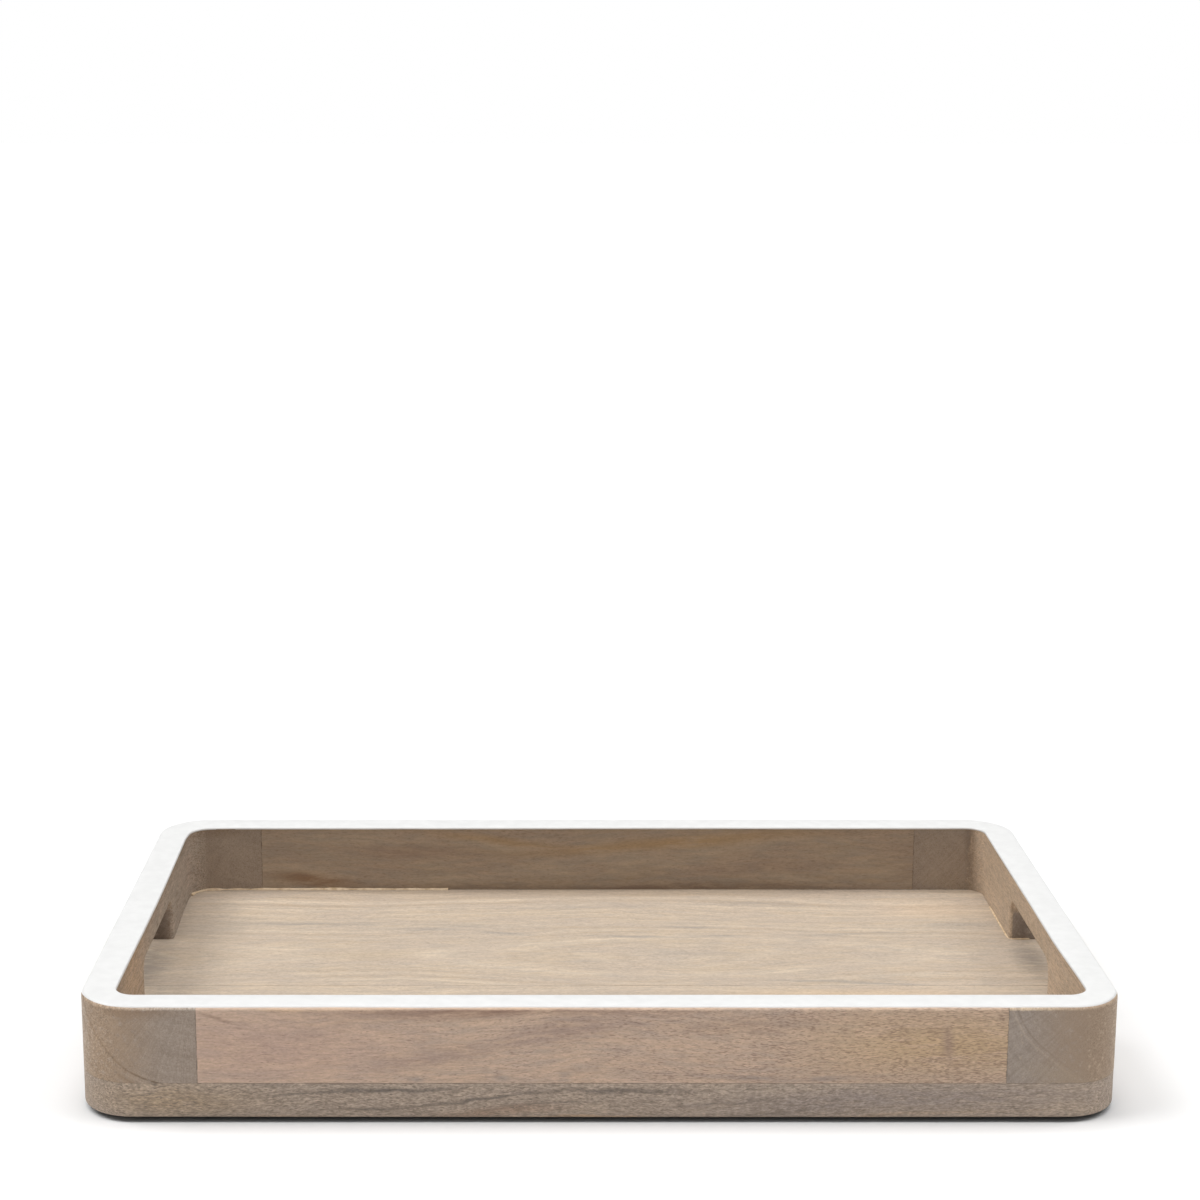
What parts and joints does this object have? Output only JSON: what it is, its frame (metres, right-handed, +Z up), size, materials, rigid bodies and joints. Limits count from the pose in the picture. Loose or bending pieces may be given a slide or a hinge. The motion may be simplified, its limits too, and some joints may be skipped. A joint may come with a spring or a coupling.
{
  "type": "serving tray",
  "caption": "Rectangular solid wood serving tray with rounded corners, a white enamelled rim and a hand slot through each end wall.",
  "frame": {"origin": "middle of the tray on the surface that its pads stand on", "axes": "+X along the length of the tray, +Y towards the back, +Z up"},
  "size_m": [0.6, 0.364, 0.07],
  "materials": {
    "base_wood": "washed mango wood, matt",
    "rail_wood": "washed mango wood, matt",
    "end_wood": "washed mango wood, matt",
    "white_enamel": "satin white enamel lacquer",
    "dowel_wood": "plain beech",
    "screw_steel": "zinc-plated",
    "felt": "pressed wool felt"
  },
  "bodies": {
    "root": {"base_board_front": "base_wood", "base_board_back": "base_wood", "front_rail": "rail_wood", "back_rail": "rail_wood", "left_end": "end_wood", "right_end": "end_wood", "rim_enamel": "white_enamel", "dowels_front_left": "dowel_wood", "dowels_front_right": "dowel_wood", "dowels_back_left": "dowel_wood", "dowels_back_right": "dowel_wood", "base_screws": "screw_steel", "felt_pad_front_left": "felt", "felt_pad_front_right": "felt", "felt_pad_back_left": "felt", "felt_pad_back_right": "felt"}
  },
  "joints": []
}
